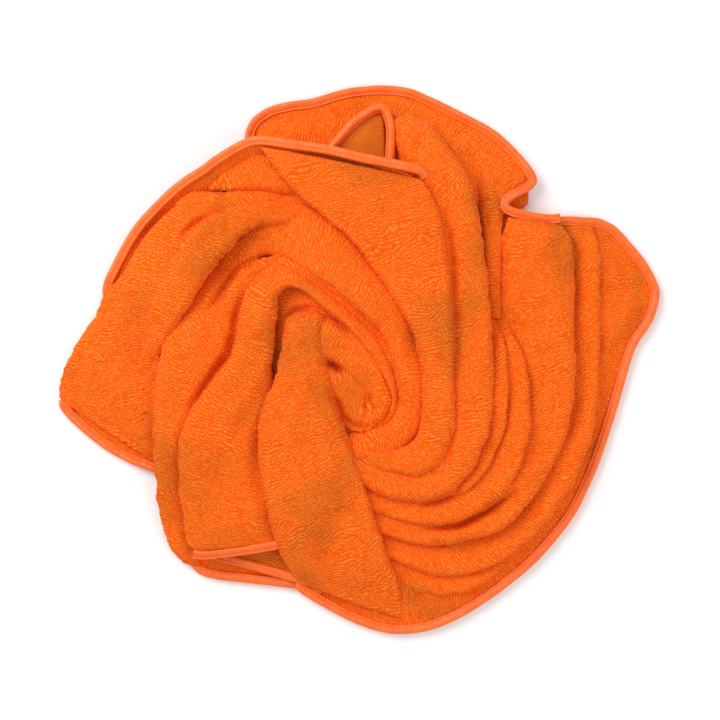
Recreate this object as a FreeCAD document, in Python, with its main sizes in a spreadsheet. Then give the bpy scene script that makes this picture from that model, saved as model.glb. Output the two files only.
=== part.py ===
"""Quick dry towel, swirled into a soft heap and resting flat on its underside.

A rectangle of microfibre terry cloth has its edge wrapped in one folded satin tape, and a lockstitch
seam holds the tape on: needle thread on the upper face, bobbin thread on the lower one. The cloth is
gathered, so its solid is a stack of padded folds, one body for each fold that can be told apart, and
the tape and threads are the stretches of the hem that lie open.

Units are millimetres, +Z is up, and the origin is the middle of the heap's footprint, on the surface
that it rests on.
"""
import FreeCAD, Part
import math
import os

from FreeCAD import Placement, Rotation, Vector

# Driving dimensions: alias, value in millimetres.
DIMENSIONS = (
    ("spread_length", 640.0),      # heap along X, from hem to hem
    ("spread_width", 584.0),       # heap along Y
    ("tape_width", 10.0),          # satin tape after folding over the edge
    ("tape_thickness", 5.5),       # folded tape with the cloth's edge inside
    ("tape_wall", 0.9),            # one layer of satin with its turned edge
    ("tape_rounding", 2.4),        # rim of the folded tape
    ("hem_reach", 24.0),           # how far the hem strip runs in under the folds
    ("seam_inset", 8.2),           # seam line, in from the rim
    ("thread_radius", 0.25),
    ("ground_height", 13.0),       # lowest layer, just two cloths deep
    ("top_lobe_height", 25.0),
    ("far_left_height", 22.0),
    ("narrow_lobe_height", 30.0),
    ("hemmed_lobe_height", 37.0),
    ("left_ridge_height", 38.0),
    ("shaded_lobe_height", 48.0),
    ("tongue_height", 50.0),
    ("outer_ring_height", 27.0),
    ("third_ring_height", 36.0),
    ("second_ring_height", 43.0),
    ("inner_ring_height", 52.0),
    ("flap_height", 62.0),
)

# Fold outlines, as percentages of half the heap's length (X) and half its width (Y).
FOLD_OUTLINES = {
    "ground": (
        (-35, 81), (-29, 88), (0, 94), (14, 95), (30, 88), (47, 77), (54, 67), (50, 58), (60, 49),
        (78, 47), (91, 34), (96, 22), (90, 8), (84, -10), (76, -38), (64, -61), (45, -80), (30, -91),
        (14, -96), (0, -93), (-18, -83), (-35, -78), (-52, -76), (-62, -67), (-66, -45), (-80, -36),
        (-95, -18), (-97, -10), (-88, 10), (-80, 30), (-68, 50), (-56, 63), (-45, 72),
    ),
    "top_lobe": (
        (-34, 81), (-31, 87), (-10, 92), (13, 95), (31, 86), (47, 75), (54, 66), (50, 60), (43, 60),
        (33, 70), (20, 80), (6, 84), (-12, 78),
    ),
    "far_left": (
        (-95, -20), (-99.5, -12), (-98, -6), (-92, 7), (-86, 21), (-77, 30), (-66, 34), (-60, 15),
        (-64, -5), (-65, -35), (-76, -34),
    ),
    "narrow_lobe": (
        (-69, -38), (-68.5, -14), (-64, 6), (-56, 17), (-47, 15), (-43, 5), (-48, -9), (-56, -27),
        (-57, -50), (-53, -66), (-54, -75), (-60, -75), (-66, -64), (-69, -51),
    ),
    "hemmed_lobe": (
        (-38, 20), (-41, 7), (-50, -9), (-59, -27), (-60, -50), (-58, -66), (-51, -71), (-28, -68),
        (-28, -50), (-30, -14), (-24, 7), (-29, 23),
    ),
    "left_ridge": (
        (-32, 50), (-41, 43), (-51, 29), (-58, 16), (-50, 0), (-40, -12), (-28, -10), (-23, 10),
        (-21, 34), (-25, 46),
    ),
    "shaded_lobe": (
        (-42, 40), (-22, 33), (-3, 20), (8, 4), (12, -14), (12, -30), (24, -30), (24, 9), (4, 41),
        (-32, 73), (-50, 61),
    ),
    "tongue": (
        (-23, 16), (-16, 18), (-6, 11), (2, -4), (-4, -16), (2, -43), (9, -68), (12, -88), (0, -91),
        (-18, -84), (-25, -74), (-31, -50), (-33, -17), (-27, 3),
    ),
    "outer_ring": (
        (67, 48), (79, 46), (79, 4), (77, -29), (67, -52), (50, -71), (29, -78), (9, -73), (9, -60),
        (36, -55), (52, -50), (60, -32), (64, -12), (64, 22),
    ),
    "third_ring": (
        (50, 54), (59, 52), (67, 49), (71, 40), (71, -2), (69, -23), (62, -40), (52, -58), (36, -64),
        (21, -66), (12, -63), (12, -55), (22, -50), (40, -46), (48, -30), (49, -8), (45, 18), (43, 40), (44, 50),
    ),
    "second_ring": (
        (37, 56), (45, 55), (47, 40), (47, 22), (51, 6), (55, -14), (53, -36), (46, -50), (31, -59),
        (13, -58), (5, -54), (10, -45), (28, -42), (38, -20), (39, 10), (37, 35),
    ),
    "inner_ring": (
        (9, 91), (20, 86), (33, 72), (39, 56), (42, 23), (44, -4), (42, -25), (34, -42), (23, -50),
        (7, -47), (8, -36), (24, -33), (27, -16), (26, 22), (21, 56), (10, 74), (4, 85),
    ),
    "flap": (
        (-28, 77), (-20, 78), (-7, 75), (8, 72), (18, 67), (24, 58), (27, 46), (30, 27), (31, -2),
        (28, -20), (22, -29), (16, -27), (15, -14), (14, 9), (6, 27), (-7, 45), (-21, 61), (-30, 71),
    ),
}

# Open stretches of the hem: the dimension that their upper face is level with, then the rim's line.
# The tape always lies to the right of the line's direction.
HEM_RUNS = {
    "right_and_bottom": ("ground", (
        (62, 51), (67, 51.5), (79, 52), (84.5, 49), (94, 37.5), (99.2, 27), (99.2, 19), (93.5, 7),
        (89, -5), (84, -22), (79.5, -37), (75, -48), (67.5, -62), (57, -75.5), (46, -86), (33, -95),
        (23, -99.5), (12, -100.5), (0, -97), (-9, -92), (-19, -86),
    )),
    "lower_left": ("ground", (
        (-22, -83), (-30, -82.5), (-38, -81), (-51, -79.5),
    )),
    "far_left": ("ground", (
        (-68, -42), (-76, -38.5), (-85, -32), (-94, -23), (-99, -16.5),
    )),
    "upper_left": ("ground", (
        (-86.5, 21), (-83, 33), (-75, 48), (-65, 61), (-58, 66), (-51, 70.5), (-43, 76.5), (-36, 80),
    )),
    "top_lobe": ("ground", (
        (-38, 79.5), (-37, 87), (-30, 92), (-23, 94.5), (-5, 98.5), (8, 100.5), (20, 98.5), (29, 93.5),
        (43, 85), (53, 77), (58, 68), (57, 61),
    )),
    "flap": ("flap", (
        (-34, 80.5), (-23, 79.5), (-10, 76.5), (2, 74), (12, 72), (20, 69.5),
    )),
    "hemmed_lobe": ("hemmed_lobe", (
        (-27, -69), (-36, -70.5), (-44, -71.5), (-51, -72.5), (-56, -71),
    )),
    "peak_left": ("inner_ring", (
        (-8, 80), (-3, 87), (2, 91), (6, 92),
    )),
}

ARC_SHARE = 0.45        # of the shorter run that a tangent arc at a bend may take
RESTING_GAP = 2         # thread radii between the resting surface and the tape: room for the bobbin thread
ON_THE_LINE = 0.01


def make_sheet(doc):
    """Write the driving dimensions into a spreadsheet, one aliased cell each."""
    sheet = doc.addObject("Spreadsheet::Sheet", "Dimensions")
    for row, (alias, value) in enumerate(DIMENSIONS, start=1):
        sheet.set(f"A{row}", alias)
        sheet.set(f"B{row}", str(value))
        sheet.setAlias(f"B{row}", alias)
    doc.recompute()
    return sheet


def spread_point(sheet, share):
    """Turn a pair of percentages of the heap's half sizes into a point."""
    across, along = share
    return Vector(across / 200 * sheet.spread_length, along / 200 * sheet.spread_width, 0)


def bind(thing, **expressions):
    """Bind properties of one object to cells of the sheet."""
    for name, expression in expressions.items():
        thing.setExpression(name, expression)


def origin_plane(body, role):
    """Return the origin plane of a body that has the given role."""
    return next(plane for plane in body.Origin.OriginFeatures if plane.Role == role)


# ---------------------------------------------------------------- the gathered cloth

def make_fold(doc, sheet, name):
    """Make one fold: its rounded outline, padded up to the top of the fold."""
    body = doc.addObject("PartDesign::Body", f"{name}_fold")
    sketch = body.newObject("Sketcher::SketchObject", f"{name}_outline")
    sketch.AttachmentSupport = [(origin_plane(body, "XY_Plane"), "")]
    sketch.MapMode = "FlatFace"
    outline = [spread_point(sheet, share) for share in FOLD_OUTLINES[name]]
    sketch.addGeometry(rounded_line(outline, closed=True))
    pad = body.newObject("PartDesign::Pad", f"{name}_pad")
    pad.Profile = sketch
    bind(pad, Length=f"Dimensions.{name}_height")
    body.Tip = pad
    doc.recompute()
    return body


# ---------------------------------------------------------------- the hem

def rounded_line(points, closed=False):
    """Join points by straight runs, with a tangent arc at each bend as large as its runs allow."""
    if closed:
        points = [points[-1], *points, points[0]]
    arcs = []
    for before, corner, after in zip(points, points[1:], points[2:]):
        way_back = before - corner
        way_on = after - corner
        reach = ARC_SHARE * min(way_back.Length, way_on.Length)
        way_back.normalize()
        way_on.normalize()
        half_turn = way_back.getAngle(way_on) / 2
        bisector = (way_back + way_on).normalize()
        middle = corner + bisector * reach * (1 / math.cos(half_turn) - math.tan(half_turn))
        arcs.append(Part.Arc(corner + way_back * reach, middle, corner + way_on * reach))
    ends = [points[0]] + [arc.EndPoint for arc in arcs]
    starts = [arc.StartPoint for arc in arcs] + [points[-1]]
    if closed:
        ends[0] = ends.pop()
        starts.pop()
    runs = [Part.LineSegment(end, start) for end, start in zip(ends, starts)]
    return runs + arcs


def make_offset(doc, name, source, distance, fill):
    """Offset a hem line towards the cloth, and fill the band between if asked."""
    offset = doc.addObject("Part::Offset2D", name)
    offset.Source = source
    offset.Mode = "Skin"
    offset.Join = "Arc"
    offset.Fill = fill
    offset.setExpression("Value", distance)
    doc.recompute()
    return offset


def make_slab(doc, name, face, height, base):
    """Extrude a band upwards from a base height."""
    slab = doc.addObject("Part::Extrusion", name)
    slab.Base = face
    slab.DirMode = "Custom"
    slab.Dir = Vector(0, 0, 1)
    slab.Solid = True
    slab.setExpression("LengthFwd", height)
    slab.setExpression("Placement.Base.z", base)
    doc.recompute()
    return slab


def round_rim(doc, sheet, name, slab, rim):
    """Round the two long edges of a slab that follow the hem's rim."""
    rounding = doc.addObject("Part::Fillet", name)
    rounding.Base = slab
    edges = []
    for number, edge in enumerate(slab.Shape.Edges, start=1):
        middle = edge.valueAt((edge.FirstParameter + edge.LastParameter) / 2)
        upright = edge.BoundBox.ZLength > sheet.tape_wall
        below = Part.Vertex(Vector(middle.x, middle.y, 0))
        if not upright and rim.Shape.distToShape(below)[0] < ON_THE_LINE:
            edges.append((number, sheet.tape_rounding, sheet.tape_rounding))
    rounding.Edges = edges
    doc.recompute()
    return rounding


def make_thread(doc, sheet, name, seam, level, side):
    """Lay one thread along a seam line, touching the tape's upper (side 1) or lower (side -1) face."""
    first = seam.Shape.OrderedEdges[0]
    start = first.valueAt(first.FirstParameter)
    section = doc.addObject("Part::Circle", f"{name}_section")
    bind(section, Radius="Dimensions.thread_radius")
    section.Placement = Placement(start, Rotation(Vector(0, 0, 1), first.tangentAt(first.FirstParameter)))
    thread = doc.addObject("Part::Sweep", name)
    thread.Sections = [section]
    thread.Spine = (seam, [f"Edge{number}" for number in range(1, len(seam.Shape.Edges) + 1)])
    thread.Solid = True
    thread.setExpression("Placement.Base.z", f"{level} + {side} * Dimensions.thread_radius")
    doc.recompute()
    return thread


def make_hem_run(doc, sheet, name, level, points):
    """Make one open stretch of hem: the folded tape, the cloth inside it and both threads."""
    if level == "ground":
        base = f"{RESTING_GAP} * Dimensions.thread_radius"
    else:
        base = f"Dimensions.{level}_height - Dimensions.tape_thickness"
    rim = doc.addObject("Sketcher::SketchObject", f"{name}_rim")
    rim.addGeometry(rounded_line([spread_point(sheet, share) for share in points]))
    doc.recompute()
    band_face = make_offset(doc, f"{name}_band_face", rim, "Dimensions.tape_width", True)
    band = make_slab(doc, f"{name}_band", band_face, "Dimensions.tape_thickness", base)
    inner_rim = make_offset(doc, f"{name}_inner_rim", rim, "Dimensions.tape_wall", False)
    hem_face = make_offset(doc, f"{name}_hem_face", inner_rim, "Dimensions.hem_reach", True)
    hem_height = "Dimensions.tape_thickness - 2 * Dimensions.tape_wall"
    hem = make_slab(doc, f"{name}_hem", hem_face, hem_height, f"{base} + Dimensions.tape_wall")
    tape = doc.addObject("Part::Cut", f"{name}_tape")
    tape.Base = round_rim(doc, sheet, f"{name}_rounded_band", band, rim)
    tape.Tool = hem
    doc.recompute()
    seam = make_offset(doc, f"{name}_seam", rim, "Dimensions.seam_inset", False)
    needle = make_thread(doc, sheet, f"{name}_needle", seam, f"{base} + Dimensions.tape_thickness", 1)
    bobbin = make_thread(doc, sheet, f"{name}_bobbin", seam, base, -1)
    return {"band": band, "hem": hem, "tape": tape, "needle": needle, "bobbin": bobbin}


# ---------------------------------------------------------------- the sub-parts

def make_group(doc, label, members):
    """Group the separate solids of one sub-part."""
    group = doc.addObject("Part::Compound", label)
    group.Label = label
    group.Links = members
    doc.recompute()
    return group


def make_cloth(doc, folds, runs):
    """Fuse the folds, clear the tape's way through them and add the cloth inside the tape."""
    stack = doc.addObject("Part::MultiFuse", "fold_stack")
    stack.Shapes = folds
    bands = make_group(doc, "all_bands", [run["band"] for run in runs])
    trimmed = doc.addObject("Part::Cut", "trimmed_stack")
    trimmed.Base = stack
    trimmed.Tool = bands
    cloth = doc.addObject("Part::MultiFuse", "terry_cloth")
    cloth.Label = "terry_cloth"
    cloth.Shapes = [trimmed] + [run["hem"] for run in runs]
    doc.recompute()
    return cloth


def centre_footprint(doc, parts):
    """Move every sub-part alike, so that the origin is the middle of the whole footprint."""
    box = parts[0].Shape.BoundBox
    for part in parts[1:]:
        box.add(part.Shape.BoundBox)
    for part in parts:
        part.Placement = Placement(Vector(-box.Center.x, -box.Center.y, 0), Rotation())
    doc.recompute()
    return box


def check_document(doc, parts):
    """Stop on a failed object or an unsound sub-part."""
    failed = [thing.Name for thing in doc.Objects if {"Invalid", "Error"} & set(thing.State)]
    if failed:
        raise RuntimeError(f"failed objects: {failed}")
    for part in parts:
        if part.Shape.isNull() or not part.Shape.isValid():
            raise RuntimeError(f"unsound shape: {part.Label}")


def build():
    """Build the towel, check it and write one file for each sub-part."""
    doc = FreeCAD.newDocument("quick_dry_towel")
    sheet = make_sheet(doc)
    folds = [make_fold(doc, sheet, name) for name in FOLD_OUTLINES]
    runs = [make_hem_run(doc, sheet, name, *run) for name, run in HEM_RUNS.items()]
    parts = [make_cloth(doc, folds, runs)]
    for label, piece in (("edge_binding", "tape"), ("needle_thread", "needle"), ("bobbin_thread", "bobbin")):
        parts.append(make_group(doc, label, [run[piece] for run in runs]))
    box = centre_footprint(doc, parts)
    check_document(doc, parts)
    os.makedirs("parts", exist_ok=True)
    for part in parts:
        part.Shape.exportStep(f"parts/{part.Label}.step")
        print(part.Label, len(part.Shape.Solids), "solids,", round(part.Shape.Volume), "mm3")
    print("size", round(box.XLength, 1), round(box.YLength, 1), round(box.ZLength, 1), "mm")


build()
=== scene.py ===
"""Looks of the quick dry towel: a plush cloth gathered into a swirl, its edge bound with satin tape.

Everything is built in millimetres on the heap's own plan (X, Y from the middle of the footprint, Z from
the surface it lies on) and scaled to the CAD box, so it follows the frame's size. The places on that
plan were read off zoomed views of the photograph. The heights are guesses, because
the picture is taken from straight above.
"""
import math

import bpy
import numpy as np
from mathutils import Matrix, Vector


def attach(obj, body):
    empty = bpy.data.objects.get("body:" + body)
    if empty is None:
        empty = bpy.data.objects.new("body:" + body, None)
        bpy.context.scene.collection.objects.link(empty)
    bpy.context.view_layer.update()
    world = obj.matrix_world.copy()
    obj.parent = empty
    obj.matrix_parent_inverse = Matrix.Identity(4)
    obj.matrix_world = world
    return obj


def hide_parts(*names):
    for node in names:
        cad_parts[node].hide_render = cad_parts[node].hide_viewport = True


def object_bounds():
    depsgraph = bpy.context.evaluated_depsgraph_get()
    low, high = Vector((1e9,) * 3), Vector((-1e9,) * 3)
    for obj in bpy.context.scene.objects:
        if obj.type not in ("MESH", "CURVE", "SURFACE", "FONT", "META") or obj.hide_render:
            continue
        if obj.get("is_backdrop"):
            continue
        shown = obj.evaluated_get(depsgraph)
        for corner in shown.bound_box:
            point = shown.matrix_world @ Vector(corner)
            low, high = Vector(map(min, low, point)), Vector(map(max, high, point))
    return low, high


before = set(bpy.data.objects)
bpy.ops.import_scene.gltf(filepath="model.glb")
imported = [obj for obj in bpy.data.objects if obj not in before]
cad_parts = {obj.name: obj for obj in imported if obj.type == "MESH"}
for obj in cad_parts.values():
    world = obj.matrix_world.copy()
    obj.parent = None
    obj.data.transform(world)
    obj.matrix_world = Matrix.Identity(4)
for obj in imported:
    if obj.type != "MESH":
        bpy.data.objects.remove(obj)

CAD_LOW, CAD_HIGH = (np.array(corner, float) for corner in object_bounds())
PLAN_LENGTH = 638.0                                   # millimetres that the plan is drawn to, along X
UNIT = (CAD_HIGH[0] - CAD_LOW[0]) / PLAN_LENGTH       # metres in one millimetre of the plan
CENTRE = np.array([(CAD_LOW[0] + CAD_HIGH[0]) / 2, (CAD_LOW[1] + CAD_HIGH[1]) / 2, CAD_LOW[2]])

# Sizes below are in millimetres of the plan.
CLOTH_HALF = 2.6            # half the thickness of a single cloth, pile included
LEAST_THICKNESS = 0.05      # of a fold that is pressed onto the floor
FLOOR_GAP = 0.2             # folds and tape stay this far above the floor
GROUND_GAP = 0.3            # and the lowest layer this far
SPLINE_STEPS = 24           # straight steps between two points of a curve
FEWEST_STEPS = 8            # even steps along the shortest curve

FOLD_STEP = 2.2             # mesh spacing along a fold
COLUMN_STEP = 2.0           # mesh spacing across it
COLUMN_LIMITS = (16, 70)
BUNCHING = 0.11             # how far the columns crowd towards the two lips
HEM_THINNING = 45.0         # a rounded fold thins down to its hem over this length
LARGEST_LIP = 0.46          # lip radius, as a share of the fold's width
FULL_CROWN_WIDTH = 60.0     # narrower folds have less of a crown
LEAST_CROWN = 0.3
END_CALM = 40.0             # bumps are full height this far from a fold's ends
BUMPS_AT_END = 0.35         # and this share of it at the ends
WAVER_REACH = 14.0          # how far in from a lip its waver is felt

GROUND_STEP = 3.0           # mesh spacing around the lowest layer
GROUND_COLUMNS = 110        # mesh columns in towards the swirl
GROUND_REACH = 0.97         # they stop this share of the way in
GROUND_CROWDING = 1.35      # and are closer together near the hem
GROUND_HEIGHT = 15.0        # upper face of the lowest layer, away from its hem
GROUND_SWELLS = [((90, 215), 8, 80), ((285, 90), 3, 40)]    # place, extra height, spread
GROUND_RISE = 34.0          # the layer rises from its hem over this length
GROUND_CALM = 30.0          # bumps and creases are full height this far from its hem
LOWEST_PRESSED = 3.0        # creases press the lowest layer's upper face no lower

TAPE_STEP = 1.6             # mesh spacing along the tape
TAPER = 3.0                 # the tape's ends close over this length
SEAM_FROM_CENTRE = 3.0      # seam line, inwards from the middle of the tape
STITCH_PITCH = 3.4
STITCH_LENGTH = 2.7
STITCH_RADIUS = 0.3
STITCH_LEVEL = 1.75         # above and below the middle of the tape
PICTURE_WIDTH = 756.0       # what the camera sees

# Random waves: seed, shortest and longest wavelength, height. A fold's own number is added to the seed.
RIPPLES = (100, 18, 40, 0.9)
SWELLS = (200, 60, 140, 1.6)
LONG_WAVER = (300, 14, 45, 0.8)
SHORT_WAVER = (400, 5, 9, 0.45)
GROUND_WAVES = (7, 50, 130, 1.5)
GROUND_RIPPLES = (8, 16, 36, 0.5)
WAVE_COUNT = 9              # sine waves that are added up in each


# ---------------------------------------------------------------- curves and fields

def smooth_through(points):
    """Catmull-Rom curve through rows of numbers, as a fine polyline."""
    rows = np.array(points, float)
    rows = np.vstack([2 * rows[0] - rows[1], rows, 2 * rows[-1] - rows[-2]])
    share = np.linspace(0, 1, SPLINE_STEPS, endpoint=False)[:, None]
    fine = []
    for p0, p1, p2, p3 in zip(rows, rows[1:], rows[2:], rows[3:]):
        fine.append(0.5 * (2 * p1 + (p2 - p0) * share + (2 * p0 - 5 * p1 + 4 * p2 - p3) * share ** 2
                           + (3 * p1 - p0 - 3 * p2 + p3) * share ** 3))
    return np.vstack(fine + [rows[-2][None]])


def even_steps(fine, place, step):
    """Resample rows so that their places advance in even steps; also return the lengths along."""
    length = np.concatenate([[0], np.cumsum(np.linalg.norm(np.diff(place, axis=0), axis=1))])
    count = max(int(length[-1] / step) + 1, FEWEST_STEPS)
    at = np.linspace(0, length[-1], count)
    return np.column_stack([np.interp(at, length, column) for column in fine.T]), at


def follow_hem(path, step):
    """Walk along a hem line in even steps: points, lengths, directions and level directions inwards."""
    fine = smooth_through(path)
    rows, along = even_steps(fine, fine[:, :2], step)
    run = np.gradient(rows, axis=0)
    run /= np.linalg.norm(run, axis=1, keepdims=True)
    inward = np.column_stack([run[:, 1], -run[:, 0], np.zeros(len(run))])
    inward /= np.linalg.norm(inward, axis=1, keepdims=True)
    return rows, along, run, inward


def waves(recipe, x, y, number=0):
    """Smooth random heights at the given coordinates."""
    seed, shortest, longest, height = recipe
    chance = np.random.default_rng(seed + number)
    angles = chance.uniform(0, math.tau, WAVE_COUNT)
    turns = math.tau / chance.uniform(shortest, longest, WAVE_COUNT)
    phases = chance.uniform(0, math.tau, WAVE_COUNT)
    total = 0
    for angle, turn, phase in zip(angles, turns, phases):
        total = total + np.sin(turn * (x * math.cos(angle) + y * math.sin(angle)) + phase)
    return total / math.sqrt(WAVE_COUNT) * height


def ease(value):
    """Smooth step from 0 to 1."""
    value = np.clip(value, 0, 1)
    return value * value * (3 - 2 * value)


def polyline_distance(x, y, line):
    """Distance of plan points from a polyline, and how far along it they are, from 0 to 1."""
    best = np.full(x.shape, np.inf)
    along = np.zeros(x.shape)
    line = np.array(line, float)
    lengths = np.linalg.norm(np.diff(line, axis=0), axis=1)
    done = 0.0
    for start, end, length in zip(line, line[1:], lengths):
        run = end - start
        share = np.clip(((x - start[0]) * run[0] + (y - start[1]) * run[1]) / length ** 2, 0, 1)
        distance = np.hypot(x - start[0] - share * run[0], y - start[1] - share * run[1])
        closer = distance < best
        best = np.where(closer, distance, best)
        along = np.where(closer, (done + share * length) / lengths.sum(), along)
        done += length
    return best, along


# ---------------------------------------------------------------- the plan of the folds

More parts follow.
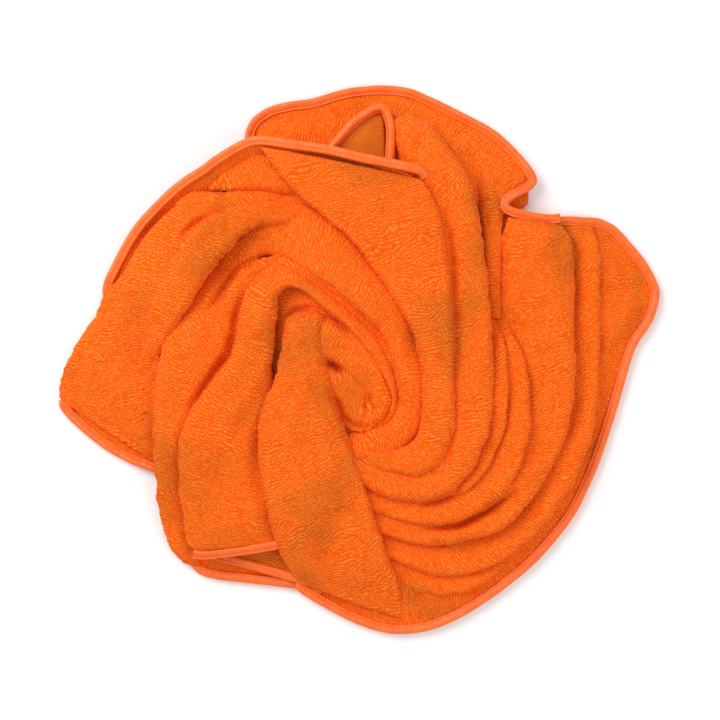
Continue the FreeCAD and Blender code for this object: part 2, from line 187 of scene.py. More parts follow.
# Each fold is a row of ribs laid across it: left lip x, y, z, then right lip x, y, z.
# z is the height of the upper face. The radius rounds the lips, and the crown lifts the middle.
# "hem" marks the ends that run into the bound edge, and "reverse" shows the back of the cloth.
# "under_lobe" can't be seen from above: it closes the gap below the hemmed lobe's left lip.
FOLDS = {
    "brow": dict(radius=8, crown=6, ribs=[
        (-40, 206, 32, -42, 168, 34), (-89, 218, 34, -92, 175, 38), (-112, 219, 32, -116, 176, 38),
        (-132, 208, 28, -136, 177, 36), (-148, 199, 24, -149, 177, 32), (-161, 189, 19, -161, 178, 25)]),
    "far_left_band": dict(radius=8, crown=5, hem="end", ribs=[
        (-50, 184, 28, -30, 140, 28), (-103, 180, 34, -98, 138, 28), (-137, 177, 36, -116, 136, 27),
        (-163, 178, 34, -134, 128, 26), (-180, 177, 30, -148, 114, 26), (-201, 160, 26, -160, 94, 28),
        (-230, 130, 22, -170, 74, 32), (-252, 94, 18, -178, 58, 34), (-273, 70, 15, -188, 44, 30),
        (-279, 55, 13, -196, 30, 24), (-287, 40, 14, -200, 16, 19), (-305, 11, 15, -204, 0, 15),
        (-318, -18, 13, -206, -40, 12), (-321, -38, 9, -206, -84, 9), (-316, -45, 7, -211, -116, 8)]),
    "outer_ridge": dict(radius=9, crown=4, ribs=[
        (-50, 166, 30, -22, 138, 30), (-79, 168, 36, -60, 142, 35), (-106, 167, 42, -84, 141, 42),
        (-131, 163, 46, -106, 139, 46), (-152, 154, 47, -125, 127, 47), (-170, 140, 46, -142, 108, 47),
        (-188, 120, 42, -158, 88, 45), (-205, 98, 36, -172, 68, 42), (-220, 74, 29, -187, 45, 37),
        (-232, 48, 22, -202, 20, 29), (-240, 24, 15, -212, -4, 19)]),
    "ridge_band": dict(radius=9, crown=8, ribs=[
        (-190, -216, 13, -166, -222, 9), (-205, -192, 19, -172, -192, 12),
        (-213, -160, 23, -174, -160, 14), (-217, -124, 25, -172, -124, 15),
        (-219, -84, 27, -168, -84, 17), (-219, -42, 28, -150, -55, 19), (-214, -8, 29, -132, -20, 22),
        (-204, 26, 28, -118, 8, 17), (-184, 62, 23, -116, 42, 18), (-160, 98, 20, -106, 78, 22),
        (-130, 134, 22, -100, 108, 28), (-98, 162, 26, -74, 102, 35), (-56, 168, 30, -44, 83, 45),
        (-14, 145, 34, -19, 66, 48), (16, 112, 36, 1, 48, 49), (40, 76, 37, 20, 28, 49),
        (62, 38, 37, 33, -2, 48), (72, 0, 38, 38, -28, 47), (73, -40, 38, 40, -46, 46),
        (64, -78, 37, 34, -60, 43), (44, -98, 35, 22, -68, 41), (22, -106, 34, 6, -74, 38),
        (0, -108, 32, -10, -76, 35), (-26, -104, 27, -30, -76, 28)]),
    "small_ridge": dict(radius=7, crown=5, ribs=[
        (-80, 116, 31, -66, 92, 23), (-105, 106, 38, -86, 84, 28), (-126, 92, 40, -98, 68, 28),
        (-139, 71, 40, -106, 48, 27), (-151, 49, 37, -112, 24, 26), (-161, 26, 32, -120, -2, 24),
        (-168, 4, 25, -142, -18, 19)]),
    "hemmed_lobe": dict(radius=8, crown=7, hem="start", ribs=[
        (-172, -202, 29, -80, -192, 20), (-181, -192, 32, -80, -184, 20),
        (-187, -160, 36, -80, -155, 20), (-191, -124, 38, -82, -124, 21), (-190, -84, 39, -84, -84, 23),
        (-173, -46, 41, -84, -44, 29), (-150, -14, 46, -92, -13, 40), (-131, 12, 49, -90, 14, 44),
        (-127, 44, 50, -87, 42, 47), (-121, 68, 49, -84, 66, 48), (-106, 90, 40, -72, 76, 47),
        (-80, 112, 31, -55, 68, 45), (-46, 106, 23, -32, 47, 48), (-14, 86, 23, -15, 33, 48),
        (14, 58, 24, 1, 17, 47), (38, 26, 25, 16, -2, 46), (50, -8, 26, 26, -24, 44),
        (50, -40, 26, 32, -42, 42), (42, -68, 25, 27, -57, 39), (20, -82, 25, 12, -66, 36),
        (-6, -84, 23, -6, -66, 33), (-26, -80, 21, -26, -60, 28)]),
    "hollow": dict(radius=7, crown=2, ribs=[
        (-100, 86, 24, -18, 86, 28), (-98, 60, 28, -18, 56, 37), (-98, 38, 28, -34, 34, 36),
        (-98, 16, 27, -60, 14, 32),
        (-104, -20, 22, -78, -20, 28), (-112, -66, 16, -90, -66, 20)]),
    "core": dict(radius=7, crown=5, ribs=[
        (-48, 2, 36, -30, -60, 34), (-28, 0, 38, -17, -68, 39), (-12, -8, 39, -5, -74, 39),
        (2, -22, 38, 8, -76, 37), (14, -36, 35, 19, -72, 35)]),
    "centre_curl": dict(radius=8, crown=6, ribs=[
        (-54, 46, 36, -52, -8, 36), (-31, 44, 43, -34, -5, 43), (-12, 33, 44, -17, -14, 43),
        (5, 18, 44, -3, -25, 42), (20, -2, 43, 6, -36, 41), (30, -25, 42, 10, -44, 40),
        (34, -45, 41, 12, -50, 39), (26, -61, 40, 10, -54, 39), (12, -68, 37, 5, -55, 38),
        (-2, -64, 34, 1, -51, 35)]),
    "tongue": dict(radius=9, crown=8, hem="end", ribs=[
        (-66, 52, 40, -44, 54, 40), (-77, 43, 45, -37, 45, 46), (-80, 26, 48, -40, 26, 49),
        (-83, 5, 48, -35, 0, 49), (-90, -20, 48, -30, -22, 48), (-102, -48, 48, -24, -46, 47),
        (-107, -78, 47, -13, -75, 46), (-105, -115, 46, -1, -112, 45), (-100, -147, 43, 10, -145, 43),
        (-93, -178, 39, 20, -176, 40), (-84, -205, 34, 29, -203, 35), (-75, -222, 27, 38, -228, 28),
        (-68, -233, 15, 44, -256, 17), (-64, -238, 10, 46, -277, 10)]),
    "between_ridge": dict(radius=7, crown=4, ribs=[
        (122, 190, 24, 144, 188, 20), (126, 160, 27, 150, 156, 25), (128, 120, 30, 151, 118, 27),
        (130, 80, 32, 151, 78, 29), (134, 44, 28, 153, 40, 26)]),
    "tip_patch": dict(radius=2.6, crown=0, hem="both", ribs=[
        (156, 180, 11, 158, 163, 9), (171, 183, 10, 170, 161, 8), (180, 183, 9, 179, 167, 7)]),
    "outer_ring_end": dict(radius=7, crown=3, ribs=[
        (146, -200, 5, 160, -217, 10), (115, -210, 8, 130, -238, 18), (88, -214, 9, 96, -250, 20),
        (60, -208, 9, 62, -247, 20), (30, -198, 8, 33, -232, 19), (6, -190, 7, 12, -218, 16),
        (-18, -188, 5, -10, -222, 12)]),
    "outer_ring": dict(radius=8, crown=3, ribs=[
        (206, 146, 7, 248, 145, 13), (214, 125, 10, 253, 122, 23), (214, 90, 11, 254, 90, 26),
        (213, 40, 11, 254, 40, 27), (213, -10, 11, 253, -10, 27), (208, -52, 11, 250, -55, 27),
        (196, -92, 11, 238, -104, 27), (176, -126, 10, 214, -150, 26), (144, -158, 10, 180, -190, 26),
        (114, -178, 10, 140, -217, 26), (84, -182, 10, 100, -229, 26), (54, -178, 10, 63, -224, 25),
        (24, -170, 9, 33, -212, 23), (0, -160, 8, 6, -198, 19), (-26, -158, 6, -16, -202, 14)]),
    "third_ring": dict(radius=8, crown=5, hem="start", ribs=[
        (157, 152, 20, 212, 144, 19), (150, 132, 28, 222, 128, 29), (149, 105, 32, 227, 105, 33),
        (147, 65, 33, 226, 65, 35), (145, 25, 23, 226, 25, 35), (148, -20, 18, 227, -20, 35),
        (152, -58, 17, 222, -60, 35), (148, -94, 17, 208, -102, 34), (130, -124, 17, 184, -142, 34),
        (106, -144, 16, 152, -177, 33), (78, -152, 16, 114, -190, 32), (48, -150, 15, 78, -196, 31),
        (18, -144, 14, 44, -191, 29), (-6, -134, 12, 8, -180, 25), (-32, -130, 10, -16, -180, 18)]),
    "second_ring": dict(radius=8, crown=4, ribs=[
        (138, 68, 14, 148, 62, 20), (138, 36, 22, 160, 30, 34), (137, 5, 25, 174, 2, 41),
        (137, -30, 26, 177, -30, 43), (132, -62, 26, 179, -62, 43), (124, -90, 25, 173, -95, 42),
        (108, -110, 25, 158, -134, 41), (90, -124, 24, 130, -156, 40), (70, -134, 23, 100, -171, 39),
        (48, -134, 22, 68, -173, 38), (26, -130, 21, 37, -168, 35), (0, -118, 20, 4, -158, 32),
        (-26, -112, 16, -16, -154, 24)]),
    "thin_ring": dict(radius=6, crown=1, ribs=[
        (126, 56, 19, 138, 50, 22), (126, 34, 31, 148, 30, 38), (126, 10, 34, 153, 8, 45),
        (126, -30, 34, 156, -31, 47), (121, -60, 34, 152, -65, 47), (113, -83, 33, 143, -97, 46),
        (98, -106, 31, 126, -124, 44), (82, -122, 28, 106, -142, 40), (62, -128, 24, 80, -151, 34)]),
    "inner_ring": dict(radius=9, crown=6, ribs=[
        (32, 252, 30, 52, 264, 27), (36, 230, 37, 76, 245, 39), (42, 201, 39, 97, 218, 45),
        (52, 178, 40, 112, 193, 49), (64, 156, 38, 122, 165, 50), (74, 120, 38, 129, 120, 52),
        (80, 70, 39, 135, 68, 53), (82, 26, 39, 138, 26, 53), (82, -11, 39, 140, -20, 53),
        (82, -44, 38, 138, -55, 52), (80, -72, 37, 129, -90, 51), (70, -92, 36, 112, -121, 49),
        (56, -102, 34, 87, -143, 47), (38, -104, 32, 58, -149, 44), (20, -98, 33, 30, -145, 41),
        (0, -88, 32, 2, -134, 38), (-26, -84, 28, -16, -132, 31)]),
    "flap": dict(radius=9, crown=5, hem="start", ribs=[
        (-108, 224, 48, 62, 189, 51), (-100, 216, 52, 70, 180, 56), (-84, 192, 54, 79, 163, 59),
        (-60, 168, 55, 85, 143, 60), (-31, 143, 56, 89, 124, 60), (-6, 121, 56, 92, 104, 60),
        (17, 90, 57, 95, 79, 60), (37, 59, 57, 97, 49, 60), (54, 29, 56, 97, 18, 59),
        (62, -5, 55, 98, -15, 58), (64, -40, 54, 99, -45, 57), (62, -70, 52, 97, -78, 55),
        (54, -85, 50, 84, -107, 52), (42, -92, 46, 62, -121, 48), (28, -94, 42, 40, -120, 44),
        (8, -90, 38, 12, -114, 41), (-16, -84, 32, -10, -112, 33)]),
    "lobe_lining": dict(radius=2.6, crown=0, hem="both", reverse=True, ribs=[
        (-150, -200, 14, -150, -210, 12), (-122, -196, 16, -122, -216, 12), (-96, -190, 16, -96, -222, 11),
        (-64, -184, 16, -64, -232, 10)]),
    "pocket_back": dict(radius=3, crown=1, hem="both", reverse=True, ribs=[
        (-36, 192, 30, 42, 186, 34), (-26, 218, 30, 29, 205, 34), (-10, 240, 28, 27, 232, 30),
        (4, 252, 26, 25, 250, 27), (13, 260, 25, 22, 260, 25)]),
    "hem_shelf": dict(radius=2.6, crown=0, hem="both", ribs=[
        (-269, 70, 10, -240, 62, 6), (-259, 92, 12, -234, 78, 6), (-236, 135, 15, -214, 118, 6),
        (-205, 168, 20, -188, 147, 7), (-184, 184, 24, -168, 162, 9), (-148, 207, 34, -134, 184, 14),
        (-121, 222, 43, -110, 198, 18), (-92, 224, 46, -88, 200, 18), (-74, 221, 47, -68, 196, 18),
        (-33, 214, 49, -30, 188, 18), (0, 206, 51, -2, 180, 20), (35, 199, 52, 30, 170, 24),
        (56, 192, 50, 50, 160, 28)]),
    "under_lobe": dict(radius=7, crown=1, ribs=[
        (-186, -120, 28, -120, -120, 24), (-185, -84, 30, -118, -84, 26), (-168, -46, 33, -112, -48, 30),
        (-145, -14, 37, -104, -16, 34), (-127, 12, 40, -98, 10, 38), (-123, 44, 40, -96, 42, 38)]),
}

# Lesser creases pressed into whatever cloth is on top: points, depth, half width.
CREASES = [
    ([(-38, -2), (-30, -4), (-17, -14)], 18.0, 4.0),
    ([(-32, 46), (-22, 37), (-9, 27)], 10.0, 3.5),
    ([(-77, 45), (-67, 52), (-54, 55), (-41, 52), (-32, 45)], 8.0, 3.0),
    ([(-32, -34), (-22, -46), (-18, -60), (-6, -70), (6, -71)], 13.0, 3.5),
    ([(10, -40), (5, -46), (7, -57)], 7.0, 2.5),
    ([(-102, 108), (-86, 103), (-65, 93), (-46, 81), (-23, 64), (-2, 46), (17, 28), (27, 8), (36, -14)],
     7.0, 3.0),
    ([(-105, 109), (-126, 99), (-139, 82), (-150, 64), (-165, 45)], 7.0, 3.0),
    ([(-122, 66), (-130, 46), (-133, 24), (-138, 6), (-152, -11), (-178, -50)], 9.0, 3.5),
    ([(84, 168), (91, 142), (96, 110), (99, 79), (101, 42), (101, 0)], 6.0, 3.0),
    ([(-234, 60), (-240, 30), (-226, -6)], 6.0, 12.0),
    ([(-262, 40), (-268, 10), (-262, -20)], 3.0, 12.0),
    ([(-5, -142), (-26, -178), (-32, -210), (-21, -242)], 8.0, 13.0),
    ([(74, -190), (82, -193), (92, -197)], 5.0, 4.0),
    ([(72, -176), (103, -175), (134, -160), (163, -138)], 14.0, 3.2),
    ([(62, -152), (84, -149), (106, -139)], 9.0, 3.0),
    ([(228, 132), (228, 90), (226, 40)], 2.0, 9.0),
    ([(214, 128), (190, 95), (172, 58)], 5.0, 9.0),
    ([(-189, 128), (-176, 141), (-160, 150)], 6.0, 3.5),
    ([(-160, -40), (-144, -90), (-140, -150)], 5.0, 14.0),
    ([(-112, -60), (-112, -110), (-108, -150)], 3.0, 10.0),
    ([(40, 190), (30, 130), (60, 60)], 4.0, 20.0),
    ([(-60, 200), (-10, 150), (30, 90)], 3.0, 14.0),
    ([(262, 120), (285, 95), (280, 60)], 4.0, 12.0),
    ([(-90, 250), (-40, 262), (20, 270)], 3.0, 12.0),
    ([(110, 235), (122, 200), (132, 150)], 7.0, 10.0),
    ([(60, 270), (90, 240), (100, 200)], 3.0, 10.0),
    ([(-86, 160), (-70, 130), (-40, 104)], 4.0, 12.0),
]

# Middle of the tape along each open stretch of hem: x, y, z.
HEMS = {
    "top": [
        (-118, 230, 9), (-117, 241, 9), (-112, 252, 9), (-104, 259, 9), (-93, 265, 9), (-73, 270, 9),
        (-51, 273, 9), (-16, 283, 9), (6, 286, 9), (26, 287, 9), (51, 284, 9), (71, 276, 9), (92, 266, 10),
        (134, 244, 11), (153, 229, 12), (171, 210, 13), (181, 196, 14), (182, 188, 15), (173, 181, 17),
        (162, 175, 19), (154, 169, 20), (153, 162, 20), (160, 157, 20), (171, 154, 20), (184, 151, 20),
        (200, 149, 20), (212, 150, 19)],
    "right_and_bottom": [
        (206, 147, 9), (220, 148, 9), (236, 147, 9), (252, 146, 8), (266, 140, 8), (276, 131, 7),
        (295, 109, 7), (304, 96, 6), (312, 80, 6), (314, 67, 6), (307, 43, 6), (293, 22, 6),
        (285, 4, 6), (276, -27, 6), (265, -64, 6), (251, -106, 6), (239, -134, 6), (225, -162, 6),
        (204, -190, 6), (182, -214, 6), (157, -235, 6), (134, -252, 6), (103, -271, 6), (73, -283, 6),
        (42, -287, 6), (17, -283, 6), (-9, -273, 7), (-39, -257, 8), (-60, -244, 9), (-66, -236, 9)],
    "lower_left": [
        (-40, -246, 5), (-60, -240, 5), (-90, -236, 5), (-116, -233, 5), (-150, -229, 5), (-168, -224, 5),
        (-176, -216, 4)],
    "far_left": [
        (-208, -119, 6), (-226, -112, 6), (-244, -105, 6), (-272, -89, 6), (-302, -64, 6), (-314, -50, 7),
        (-315, -43, 8)],
    "upper_left_and_flap": [
        (-262, 56, 6), (-268, 68, 8), (-268, 78, 10), (-261, 95, 12), (-237, 137, 15), (-206, 170, 20),
        (-185, 187, 25), (-165, 199, 30), (-149, 210, 35), (-121, 225, 43), (-106, 228, 47), (-92, 227, 49),
        (-74, 224, 50), (-33, 218, 52), (0, 210, 54), (35, 203, 55), (54, 199, 54), (63, 196, 51),
        (69, 189, 45)],
    "lobe": [
        (-176, -204, 27), (-164, -205, 27), (-145, -203, 27), (-121, -200, 27), (-84, -194, 26)],
    "lobe_underside": [
        (-158, -206, 13), (-140, -211, 13), (-118, -217, 12), (-94, -224, 11), (-66, -232, 10),
        (-44, -240, 8)],
    "pocket": [
        (-34, 216, 33), (-27, 226, 32), (-8, 248, 29), (5, 258, 27), (16, 264, 26), (24, 264, 26),
        (29, 256, 27), (32, 242, 31), (31, 214, 38), (30, 200, 40)],
}

# Degrees by which the tape of some hems stands up on its edge.
LEAN = {"pocket": -48, "lobe_underside": 30, "lower_left": 15, "upper_left_and_flap": 20}

# Edge of the lowest layer: x, y, z, just inside the tape where there is one.
GROUND_EDGE = [
    (-117, 234, 9), (-104, 256, 9), (-73, 268, 9), (-16, 281, 9), (26, 285, 9), (71, 274, 9), (92, 264, 10),
    (134, 242, 11), (170, 208, 13), (178, 192, 13), (162, 174, 13), (156, 162, 12), (175, 152, 10),
    (205, 147, 9), (236, 145, 9), (265, 138, 8), (294, 108, 7), (311, 80, 6), (312, 66, 6), (305, 43, 6),
    (291, 21, 6), (274, -27, 6), (249, -106, 6), (223, -161, 6), (180, -212, 6), (133, -250, 6),
    (73, -281, 6), (42, -285, 6), (-9, -271, 6), (-60, -240, 6), (-90, -232, 5), (-150, -225, 5),
    (-176, -214, 6), (-196, -190, 6), (-202, -150, 6), (-208, -119, 6), (-244, -103, 6), (-299, -62, 6),
    (-306, -38, 6), (-296, -10, 6), (-268, 44, 7), (-252, 82, 7), (-226, 128, 7), (-192, 160, 7),
    (-150, 188, 7), (-122, 212, 8),
]
SWIRL_CENTRE = (8, -46)


# ---------------------------------------------------------------- meshes

def to_metres(points):
    """Plan millimetres to the frame's metres."""
    return CENTRE + np.asarray(points, float) * UNIT


def link_mesh(name, points, faces, materials):
    """Make one smooth-shaded object."""
    mesh = bpy.data.meshes.new(name)
    mesh.from_pydata(to_metres(points).tolist(), [], faces)
    mesh.polygons.foreach_set("use_smooth", [True] * len(mesh.polygons))
    for material in materials:
        mesh.materials.append(material)
    piece = bpy.data.objects.new(name, mesh)
    bpy.context.collection.objects.link(piece)
    return piece


def add_shells(name, shells, materials):
    """Make one object of several shells: points, faces, pile directions, material number."""
    starts = np.cumsum([0] + [len(shell[0]) for shell in shells[:-1]])
    points = np.vstack([shell[0] for shell in shells])
    faces = [row for start, shell in zip(starts, shells) for row in (np.asarray(shell[1]) + start).tolist()]
    flow = np.vstack([shell[2] for shell in shells])
    numbers = [shell[3] for shell in shells for _ in range(len(shell[1]))]
    piece = link_mesh(name, points, faces, materials)
    mesh = piece.data
    mesh.polygons.foreach_set("material_index", numbers)
    corner = np.empty(len(mesh.loops), dtype=np.int32)
    mesh.loops.foreach_get("vertex_index", corner)
    layer = mesh.uv_layers.new(name="flow")
    layer.data.foreach_set("uv", np.asarray(flow * UNIT, np.float32)[corner].ravel())
    mesh.validate()
    return piece


def grid_faces(rows, columns):
    """Quads of a grid of vertices that are numbered row by row."""
    corner = (np.arange(rows - 1)[:, None] * columns + np.arange(columns - 1)[None, :]).ravel()
    return np.column_stack([corner, corner + 1, corner + columns + 1, corner + columns])


def drop_unused(points, faces):
    """Remove the points that no face uses; also return the old numbers of those that stay."""
    used = np.unique(faces)
    renumber = np.zeros(len(points), int)
    renumber[used] = np.arange(len(used))
    return points[used], renumber[faces], used


def closed_sheet(upper, lower):
    """Join an upper and a lower grid of the same shape into one closed shell.

    The two grids share their border, so the lower one's border vertices are those of the upper one.
    """
    rows, columns = upper.shape[:2]
    count = rows * columns
    points = np.vstack([upper.reshape(-1, 3), lower.reshape(-1, 3)])
    index = np.arange(count).reshape(rows, columns)
    under = index + count
    under[0], under[-1] = index[0], index[-1]
    under[:, 0], under[:, -1] = index[:, 0], index[:, -1]
    quads = grid_faces(rows, columns)
    points, faces, used = drop_unused(points, np.vstack([quads, under.ravel()[quads[:, ::-1]]]))
    return points, faces, used % count


def lip_drop(distance, radius):
    """How far a rounded lip falls below the flat of the fold, at a distance in from its edge."""
    inside = np.clip(radius - distance, 0, radius)
    return radius - np.sqrt(radius ** 2 - inside ** 2)


def press_creases(x, y):
    """Depth of all lesser creases at plan points."""
    depth = np.zeros(x.shape)
    for line, deep, wide in CREASES:
        distance, along = polyline_distance(x, y, line)
        fade = np.sin(np.clip(along, 0.04, 0.96) * math.pi) ** 0.5
        depth += deep * fade * np.exp(-(distance / wide) ** 2)
    return depth


# ---------------------------------------------------------------- the cloth

def lip_radius(radius, hem, to_start, to_end, width):
    """Radius of a fold's rounded lips: that of a single cloth at a hem, and small on a narrow fold."""
    lip = np.full(to_start.shape, float(radius))
    for end, distance in (("start", to_start), ("end", to_end)):
        if hem in (end, "both"):
            lip = np.minimum(lip, CLOTH_HALF + (radius - CLOTH_HALF) * ease(distance / HEM_THINNING))
    return np.minimum(lip, LARGEST_LIP * width)


def back_bumps(number, across, along, x, y):
    """Ripples drawn out along a fold's back, and slower swells."""
    return waves(RIPPLES, across, along * 0.35, number) + waves(SWELLS, x, y, number)


def lip_waver(number, x, y, to_edge):
    """How far a fold's lips stray sideways, which fades out towards its back."""
    waver = waves(LONG_WAVER, x, y, number) + waves(SHORT_WAVER, x, y, number)
    return waver * np.clip(1 - to_edge / WAVER_REACH, 0, 1)


def fold_grids(ribs, radius, crown, hem, number):
    """Upper and lower faces of one fold, as grids along and across it, with its pile directions."""
    fine = smooth_through(ribs)
    middle = (fine[:, 0:2] + fine[:, 3:5]) / 2
    rows, along = even_steps(fine, middle, FOLD_STEP)
    left, right = rows[:, None, 0:3], rows[:, None, 3:6]
    width = np.linalg.norm(right - left, axis=2)
    share = np.linspace(0, 1, int(np.clip(width.max() / COLUMN_STEP, *COLUMN_LIMITS)))
    share = (share - BUNCHING * np.sin(math.tau * share))[None, :]
    spine = left + (right - left) * share[:, :, None]
    x, y, height = (spine[:, :, axis] for axis in range(3))
    to_start = along[:, None]
    to_end = along[-1] - along[:, None]
    across = share * width
    to_edge = np.minimum(np.minimum(across, width - across), np.minimum(to_start, to_end))
    lip = lip_radius(radius, hem, to_start, to_end, width)
    drop = lip_drop(to_edge, lip)
    arch = crown * (1 - (2 * share - 1) ** 2) * np.clip(width / FULL_CROWN_WIDTH, LEAST_CROWN, 1)
    calm = BUMPS_AT_END + (1 - BUMPS_AT_END) * ease(np.minimum(to_start, to_end) / END_CALM)
    level = height + arch + back_bumps(number, across, to_start, x, y) * calm - press_creases(x, y)
    side = (right - left)[:, :, :2]
    side = side / np.linalg.norm(side, axis=2, keepdims=True)
    place = spine[:, :, :2] + side * lip_waver(number, x, y, to_edge)[:, :, None]
    lower = np.maximum(level - 2 * lip + drop, FLOOR_GAP)
    upper = np.maximum(level - drop, lower + LEAST_THICKNESS)
    flow = np.dstack([across, to_start + 0 * across])
    return np.dstack([place, upper]), np.dstack([place, lower]), flow


def fold_shell(number, ribs, radius, crown, hem="", reverse=False):
    """Make one fold of the cloth as a closed shell, in the plush or the reverse's material."""
    upper, lower, flow = fold_grids(ribs, radius, crown, hem, number)
    points, faces, source = closed_sheet(upper, lower)
    return points, faces, flow.reshape(-1, 2)[source], int(reverse)


def ground_level(x, y, depth, hem_height):
    """Upper face of the lowest layer, which rises from the hem and swells over what is tucked under it."""
    inner = GROUND_HEIGHT
    for (peak_x, peak_y), rise, spread in GROUND_SWELLS:
        inner = inner + rise * np.exp(-((x - peak_x) ** 2 + (y - peak_y) ** 2) / (2 * spread ** 2))
    calm = ease(depth / GROUND_CALM)
    level = hem_height + (inner - hem_height) * ease(depth / GROUND_RISE)
    level = level + waves(GROUND_WAVES, x, y) * calm + waves(GROUND_RIPPLES, x, y) * calm
    return np.maximum(level - press_creases(x, y) * calm, LOWEST_PRESSED)


def ground_shell():
    """Make the lowest layer: one cloth that rises from the hem all round, in towards the swirl."""
    fine = smooth_through(GROUND_EDGE + GROUND_EDGE[:1])
    edge, along = even_steps(fine, fine[:, :2], GROUND_STEP)
    edge, along = edge[:-1], along[:-1]
    to_centre = np.array(SWIRL_CENTRE, float) - edge[:, :2]
    inward = np.linspace(0, GROUND_REACH, GROUND_COLUMNS) ** GROUND_CROWDING
    place = edge[:, None, :2] + to_centre[:, None, :] * inward[None, :, None]
    reach = np.linalg.norm(to_centre, axis=1)[:, None]
    depth = inward[None, :] * reach
    level = ground_level(place[:, :, 0], place[:, :, 1], depth, edge[:, None, 2])
    drop = lip_drop(np.minimum(depth, GROUND_REACH * reach - depth), CLOTH_HALF)
    upper = np.dstack([place, level - drop])
    lower = np.dstack([place, np.maximum(level - 2 * CLOTH_HALF + drop, GROUND_GAP)])
    flow = np.dstack([depth, along[:, None] + 0 * depth]).reshape(-1, 2)

    rows, columns = depth.shape
    index = np.arange(rows * columns).reshape(rows, columns)
    index = np.vstack([index, index[:1]])
    under = index + rows * columns
    under[:, 0] = index[:, 0]
    quads = grid_faces(rows + 1, columns)[:, ::-1]
    inner = np.column_stack([index[:-1, -1], index[1:, -1], under[1:, -1], under[:-1, -1]])
    faces = np.vstack([index.ravel()[quads], under.ravel()[quads[:, ::-1]], inner])
    points, faces, used = drop_unused(np.vstack([upper.reshape(-1, 3), lower.reshape(-1, 3)]), faces)
    return points, faces, np.vstack([flow, flow])[used], 0


# ---------------------------------------------------------------- the hem

def tape_section():
    """Outline of the folded tape: a rolled rim, a dip along the seam and a thin inner edge."""
    across = np.array([-5.0, -4.6, -3.6, -2.2, -0.6, 0.9, 2.1, 3.0, 3.9, 4.6, 5.0])
    height = np.array([0.6, 2.3, 3.6, 4.2, 4.0, 3.4, 2.5, 1.6, 2.1, 2.2, 1.3])
    upper = np.column_stack([across, height])
    lower = np.column_stack([across[::-1], -height[::-1]])
    return np.vstack([upper, lower])


def pucker(along, across):
    """Share by which the tape is thicker: gathers that the seam pulls in beside it, and slow waves."""
    uneven = 1.3 * np.sin(along / 11)
    gathers = np.sin(along * math.tau / 7.3 + uneven) + 0.6 * np.sin(along * math.tau / 4.1)
    beside_seam = np.exp(-((across - 2.0) / 3.0) ** 2)
    return 0.11 * gathers * beside_seam + 0.10 * np.sin(along * math.tau / 31)


def tape_faces(rows, count):
    """Faces of a swept tube of closed rings, with a strip of quads over each end."""
    ring = np.arange(count)
    after = np.roll(ring, -1)
    start = np.arange(rows - 1)[:, None] * count
    tube = np.stack([start + ring, start + after, start + count + after, start + count + ring], axis=-1)
    last = (rows - 1) * count
    caps = []
    for corner in range(count // 2 - 1):
        low, high = ring[-1 - corner], ring[-2 - corner]
        caps.append([corner, corner + 1, high, low])
        caps.append([last + low, last + high, last + corner + 1, last + corner])
    return np.vstack([tube.reshape(-1, 4), caps])


def tape_shell(path, lean):
    """Sweep the tape along one stretch of hem, tilted by an angle about it."""
    rows, along, run, inward = follow_hem(path, TAPE_STEP)
    tilt = np.array([[math.cos(lean), math.sin(lean)], [-math.sin(lean), math.cos(lean)]])
    section = tape_section() @ tilt
    upward = np.cross(inward, run)
    upward *= np.sign(upward[:, 2:3])
    end = np.minimum(along, along[-1] - along)
    size = np.sqrt(np.clip(1 - (1 - np.clip(end / TAPER, 0.02, 1)) ** 2, 0, 1))
    across = np.tile(section[None, :, 0], (len(rows), 1))
    height = section[None, :, 1] * size[:, None]
    height = height * (1 + pucker(along[:, None], across))
    points = rows[:, None, :] + inward[:, None, :] * across[:, :, None]
    points = points + upward[:, None, :] * height[:, :, None]
    points[:, :, 2] = np.maximum(points[:, :, 2], FLOOR_GAP)
    flow = np.dstack([across, along[:, None] + 0 * across])
    return points.reshape(-1, 3), tape_faces(len(rows), len(section)), flow.reshape(-1, 2), 0


def make_binding(material):
    """Make every open stretch of the satin tape."""
    shells = [tape_shell(path, math.radians(LEAN.get(name, 0))) for name, path in HEMS.items()]
    return add_shells("satin_binding", shells, [material])


def capsule(start, end, radius, sides=6):
    """Points and faces of a short rounded stitch."""
    run = end - start
    length = np.linalg.norm(run)
    run = run / length
    one = np.cross(run, [0, 0, 1.0])
    one /= np.linalg.norm(one)
    two = np.cross(run, one)
    turn = np.arange(sides) * math.tau / sides
    rim = np.cos(turn)[:, None] * one + np.sin(turn)[:, None] * two
    rings = [(0.0, 0.15), (0.12, 0.75), (0.35, 1.0), (0.65, 1.0), (0.88, 0.75), (1.0, 0.15)]
    points = []
    for at, wide in rings:              # shares of the stitch's length and radius
        arch = np.array([0, 0, 0.5 * radius * math.sin(at * math.pi)])
        points.append(start + run * length * at + rim * radius * wide + arch)
    faces = []
    for first in range(0, (len(rings) - 1) * sides, sides):
        for side in range(sides):
            after = (side + 1) % sides
            faces.append([first + side, first + after, first + sides + after, first + sides + side])
    faces.append(list(range(sides))[::-1])
    faces.append([(len(rings) - 1) * sides + side for side in range(sides)])
    return np.vstack(points), faces


def make_stitches(name, material, level):
    """Make the lockstitches of one thread along every stretch of hem, at a height from its middle.

    The hem is walked in half stitches, so every second point is the middle of one.
    """
    points, faces, count = [], [], 0
    for path in HEMS.values():
        rows, _, run, inward = follow_hem(path, STITCH_PITCH / 2)
        for at in range(2, len(rows) - 2, 2):
            middle = rows[at] + inward[at] * SEAM_FROM_CENTRE + [0, 0, level]
            half = run[at] * STITCH_LENGTH / 2
            more, quads = capsule(middle - half, middle + half, STITCH_RADIUS)
            points.append(more)
            faces += [[corner + count for corner in quad] for quad in quads]
            count += len(more)
    return link_mesh(name, np.vstack(points), faces, [material])


# ---------------------------------------------------------------- materials

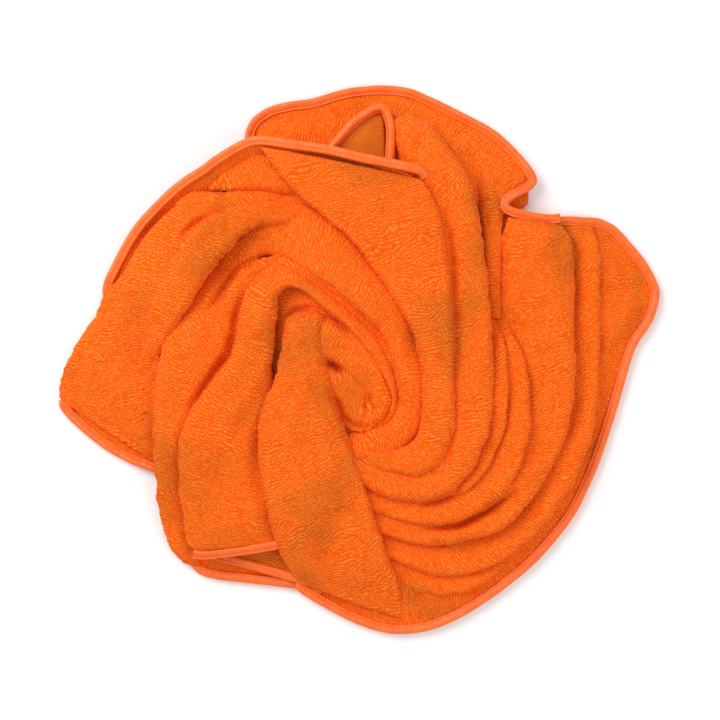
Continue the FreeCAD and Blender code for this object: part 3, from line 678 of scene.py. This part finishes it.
def new_material(name, **values):
    """Start a Principled material, with uniform values set on its own sockets."""
    material = bpy.data.materials.new(name)
    material.use_nodes = True
    shader = material.node_tree.nodes["Principled BSDF"]
    for socket, value in values.items():
        shader.inputs[socket.replace("_", " ")].default_value = value
    return material, material.node_tree, shader


def add_node(tree, kind, links=(), **settings):
    """Add a node, set its sockets or properties, and link its inputs."""
    node = tree.nodes.new(kind)
    for name, value in settings.items():
        socket = name.replace("_", " ")
        if socket in node.inputs:
            node.inputs[socket].default_value = value
        else:
            setattr(node, name, value)
    for socket, source in links:
        tree.links.new(source, node.inputs[socket])
    return node


def scaled(tree, source, factor, added=None):
    """Multiply a value by a factor, and add another value if there is one."""
    links = [(0, source)]
    if added is not None:
        links.append((2, added))
    operation = "MULTIPLY" if added is None else "MULTIPLY_ADD"
    node = add_node(tree, "ShaderNodeMath", links, operation=operation)
    node.inputs[1].default_value = factor
    return node.outputs[0]


def ramp(tree, source, *stops):
    """Colour ramp through position and colour pairs."""
    node = add_node(tree, "ShaderNodeValToRGB", [("Fac", source)])
    points = node.color_ramp.elements
    while len(points) < len(stops):
        points.new(0.5)
    for point, (position, colour) in zip(points, stops):
        point.position = position
        point.color = (*colour, 1)
    return node.outputs["Color"]


def object_place(tree):
    """Coordinates on the object, in metres."""
    return add_node(tree, "ShaderNodeTexCoord").outputs["Object"]


def noise(tree, place, scale, detail):
    """Soft random patches, from 0 to 1."""
    node = add_node(tree, "ShaderNodeTexNoise", [("Vector", place)], Scale=scale, Detail=detail)
    return node.outputs["Fac"]


def pile_coordinates(tree, angle):
    """Coordinates across and along the cloth, gently warped and turned."""
    flow = add_node(tree, "ShaderNodeUVMap", uv_map="flow").outputs["UV"]
    drift = add_node(tree, "ShaderNodeTexNoise", [("Vector", object_place(tree))], Scale=26.0, Detail=2.0)
    moved = add_node(tree, "ShaderNodeVectorMath", [(0, drift.outputs["Color"])], operation="MULTIPLY")
    moved.inputs[1].default_value = (0.022, 0.022, 0)
    total = add_node(tree, "ShaderNodeVectorMath", [(0, flow), (1, moved.outputs[0])], operation="ADD")
    return add_node(tree, "ShaderNodeMapping", [("Vector", total.outputs[0])],
                    Rotation=(0, 0, angle)).outputs["Vector"]


def add_bump(tree, height, strength, distance, under=None):
    """Bump from a height, on top of another bump if there is one."""
    links = [("Height", height)]
    if under is not None:
        links.append(("Normal", under))
    return add_node(tree, "ShaderNodeBump", links, Strength=strength, Distance=distance).outputs["Normal"]


def terry():
    """Short plush microfibre pile in fine wavy rows, coloured darker in the grooves and paler on the tips
    as painted shade and painted highlight, with random brownish patches of painted shade, as seen where the
    nap lies over.
    """
    material, tree, shader = new_material("plush_terry", Roughness=0.95, Sheen_Weight=0.12,
                                          Sheen_Roughness=0.5, Sheen_Tint=(1.0, 0.45, 0.18, 1),
                                          Specular_IOR_Level=0.08)
    place = object_place(tree)
    cloth = pile_coordinates(tree, 0.4)
    rows = add_node(tree, "ShaderNodeTexWave", [("Vector", cloth)], bands_direction="Y", Scale=112.0,
                    Distortion=4.5, Detail=1.5, Detail_Scale=1.6).outputs["Fac"]
    grains = add_node(tree, "ShaderNodeTexVoronoi", [("Vector", cloth)], feature="SMOOTH_F1", Scale=380.0,
                      Smoothness=0.4).outputs["Distance"]
    fibres = noise(tree, place, scale=1300.0, detail=2.0)
    patches = noise(tree, place, scale=13.0, detail=2.5)
    pile = scaled(tree, rows, 0.65)
    pile = scaled(tree, grains, -1.0, added=pile)
    pile = scaled(tree, fibres, 0.5, added=pile)
    # The pile's colour follows its rows. The dark red grooves are painted shade and the pale tips are a
    # painted highlight, laid over the grains' and fibres' own tone.
    pile_tone_and_painted_shade = ramp(tree, pile, (0.0, (0.89, 0.100, 0.003)), (0.34, (0.90, 0.189, 0.017)),
                       (0.85, (0.93, 0.270, 0.050)))
    # Random brownish patches multiplied into the colour are painted shade.
    painted_shade_patch_colour = ramp(tree, patches, (0.36, (0.78, 0.92, 1.0)), (0.5, (1.0, 1.0, 1.0)))
    mixed = add_node(tree, "ShaderNodeMix", data_type="RGBA", blend_type="MULTIPLY")
    mixed.inputs["Factor"].default_value = 1.0
    tree.links.new(pile_tone_and_painted_shade, mixed.inputs["A"])
    tree.links.new(painted_shade_patch_colour, mixed.inputs["B"])
    tree.links.new(mixed.outputs["Result"], shader.inputs["Base Color"])
    tree.links.new(add_bump(tree, pile, 0.62, 0.0011), shader.inputs["Normal"])
    return material


def ribbed_reverse():
    """Back of the cloth: a flat knit with fine parallel ribs."""
    material, tree, shader = new_material("ribbed_reverse", Roughness=0.9, Specular_IOR_Level=0.1)
    ribs = add_node(tree, "ShaderNodeTexWave", [("Vector", pile_coordinates(tree, 0.6))], Scale=130.0,
                    Distortion=1.5, Detail=1.0).outputs["Fac"]
    colour = ramp(tree, ribs, (0.2, (0.55, 0.095, 0.004)), (0.8, (0.82, 0.185, 0.018)))
    tree.links.new(colour, shader.inputs["Base Color"])
    tree.links.new(add_bump(tree, ribs, 0.8, 0.0009), shader.inputs["Normal"])
    return material


def satin():
    """Satin tape: a smooth weave with a soft lengthwise gloss."""
    material, tree, shader = new_material("satin_tape", Roughness=0.3, Anisotropic=0.5,
                                          Specular_IOR_Level=0.45)
    weave = add_node(tree, "ShaderNodeTexWave", [("Vector", pile_coordinates(tree, 0.0))],
                     bands_direction="Y", Scale=420.0, Distortion=0.6).outputs["Fac"]
    patches = noise(tree, object_place(tree), scale=90.0, detail=3.0)
    colour = ramp(tree, patches, (0.3, (0.9, 0.120, 0.005)), (0.7, (0.95, 0.165, 0.014)))
    tree.links.new(colour, shader.inputs["Base Color"])
    fine = add_bump(tree, weave, 0.25, 0.0003)
    tree.links.new(add_bump(tree, patches, 0.4, 0.001, under=fine), shader.inputs["Normal"])
    return material


def thread():
    """Twisted polyester sewing thread."""
    material, tree, shader = new_material("sewing_thread", Roughness=0.5, Specular_IOR_Level=0.4)
    twist = add_node(tree, "ShaderNodeTexWave", [("Vector", object_place(tree))],
                     bands_direction="DIAGONAL", Scale=700.0).outputs["Fac"]
    colour = ramp(tree, twist, (0.0, (0.85, 0.08, 0.015)), (1.0, (1.0, 0.16, 0.05)))
    tree.links.new(colour, shader.inputs["Base Color"])
    return material


def pale_floor():
    """Matt floor, very slightly clouded."""
    material, tree, shader = new_material("pale_floor", Roughness=0.9)
    cloud = add_node(tree, "ShaderNodeTexNoise", [("Vector", object_place(tree))], Scale=2.0).outputs["Fac"]
    light = (0.97, 0.97, 0.97)
    dark = tuple(0.98 * part for part in light)
    tree.links.new(ramp(tree, cloud, (0.0, light), (1.0, dark)), shader.inputs["Base Color"])
    return material


# ---------------------------------------------------------------- stage

def make_floor():
    """A plain pale floor under the heap."""
    half = 6.0                          # metres
    mesh = bpy.data.meshes.new("floor")
    corners = [(x, y, CAD_LOW[2]) for x, y in ((-half, -half), (half, -half), (half, half), (-half, half))]
    mesh.from_pydata(corners, [], [(0, 1, 2, 3)])
    mesh.materials.append(pale_floor())
    floor = bpy.data.objects.new("floor", mesh)
    bpy.context.collection.objects.link(floor)
    floor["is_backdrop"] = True


def add_light(name, place, size, power):
    """A soft square light that faces the heap."""
    data = bpy.data.lights.new(name, "AREA")
    data.size = size
    data.energy = power
    light = bpy.data.objects.new(name, data)
    light.location = place
    light.rotation_euler = (-light.location).to_track_quat("-Z", "Y").to_euler()
    bpy.context.collection.objects.link(light)


def make_studio():
    """Soft light from all round, a little stronger from the upper left."""
    world = bpy.data.worlds.new("studio")
    world.use_nodes = True
    sky = world.node_tree.nodes["Background"]
    sky.inputs["Color"].default_value = (1, 1, 1, 1)
    sky.inputs["Strength"].default_value = 0.60
    bpy.context.scene.world = world
    add_light("key", place=(-1.3, 1.2, 1.6), size=1.5, power=41)
    add_light("fill", place=(1.6, -0.9, 1.7), size=1.4, power=17)
    bpy.context.scene.view_settings.view_transform = "Standard"


def make_camera():
    """Camera straight above the heap, the top of the picture towards +Y."""
    data = bpy.data.cameras.new("camera")
    data.lens = 85
    data.sensor_width = 36
    middle = (CAD_LOW[2] + CAD_HIGH[2]) / 2
    camera = bpy.data.objects.new("camera", data)
    distance = PICTURE_WIDTH * UNIT * data.lens / data.sensor_width
    camera.location = (CENTRE[0], CENTRE[1], middle + distance)
    bpy.context.collection.objects.link(camera)
    bpy.context.scene.camera = camera


# ---------------------------------------------------------------- the towel

def build():
    """Set the stage, make the four pieces and tie them to the frame."""
    make_camera()
    make_studio()
    make_floor()
    shells = [ground_shell()]
    shells += [fold_shell(number, **fold) for number, fold in enumerate(FOLDS.values())]
    cloth = add_shells("plush_cloth", shells, [terry(), ribbed_reverse()])
    binding = make_binding(satin())
    thread_look = thread()
    needle = make_stitches("needle_stitches", thread_look, STITCH_LEVEL)
    bobbin = make_stitches("bobbin_stitches", thread_look, -STITCH_LEVEL)
    for piece, node, slot in ((cloth, "terry_cloth", "terry"), (binding, "edge_binding", "satin_tape"),
                              (needle, "needle_thread", "sewing_thread"),
                              (bobbin, "bobbin_thread", "sewing_thread")):
        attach(piece, "root")
        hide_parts(node)


build()
